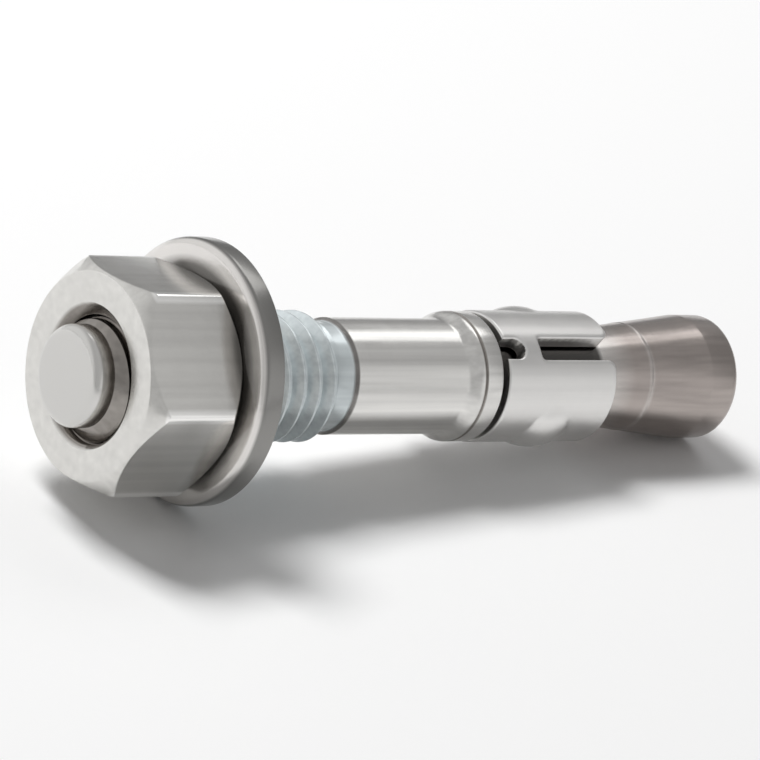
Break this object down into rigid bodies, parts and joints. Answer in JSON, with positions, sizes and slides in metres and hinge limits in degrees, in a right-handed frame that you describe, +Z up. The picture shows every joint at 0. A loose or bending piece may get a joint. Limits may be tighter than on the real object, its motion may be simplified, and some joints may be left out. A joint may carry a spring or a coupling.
{
  "type": "wedge anchor",
  "caption": "Stainless wedge anchor lying on its side: threaded bolt with a dog-point tip, flared collar and wedge end, hex nut, washer and slotted expansion sleeve.",
  "frame": {"origin": "on the surface the anchor lies on, below the middle of its bounding box", "axes": "+X along the anchor from the nut end to the wedge end, +Z up; the bolt's axis dips 5.22 degrees towards the wedge, because the washer's rim and the wedge's rim rest on the surface"},
  "size_m": [0.0768, 0.024, 0.0241],
  "materials": {
    "bolt_steel": "turned stainless steel, with a pale blue-grey setting mark on the inner end of the thread",
    "nut_steel": "satin cold-formed stainless steel",
    "washer_steel": "tumbled stamped stainless steel",
    "sleeve_steel": "satin rolled stainless strip"
  },
  "bodies": {
    "bolt": {"anchor_bolt": "bolt_steel"},
    "washer": {"washer": "washer_steel"},
    "nut": {"hex_nut": "nut_steel"},
    "sleeve": {"expansion_sleeve": "sleeve_steel"}
  },
  "joints": [
    {"name": "washer_slide", "type": "slide", "parent": "bolt", "child": "washer", "axis": [0.9959, 0, -0.091], "range_m": [-0.00701, 0.01226]},
    {"name": "nut_turn", "type": "hinge", "parent": "washer", "child": "nut", "pos_m": [-0.0307, 0, 0.01217], "axis": [0.9959, 0, -0.091], "range_deg": [-1440, 2520]},
    {"name": "sleeve_slide", "type": "slide", "parent": "bolt", "child": "sleeve", "axis": [0.9959, 0, -0.091], "range_m": [-0.0006, 0.0018]}
  ],
  "couplings": [
    {"joint": "washer_slide", "follows": "nut_turn", "m_per_rad": 0.00027852}
  ]
}
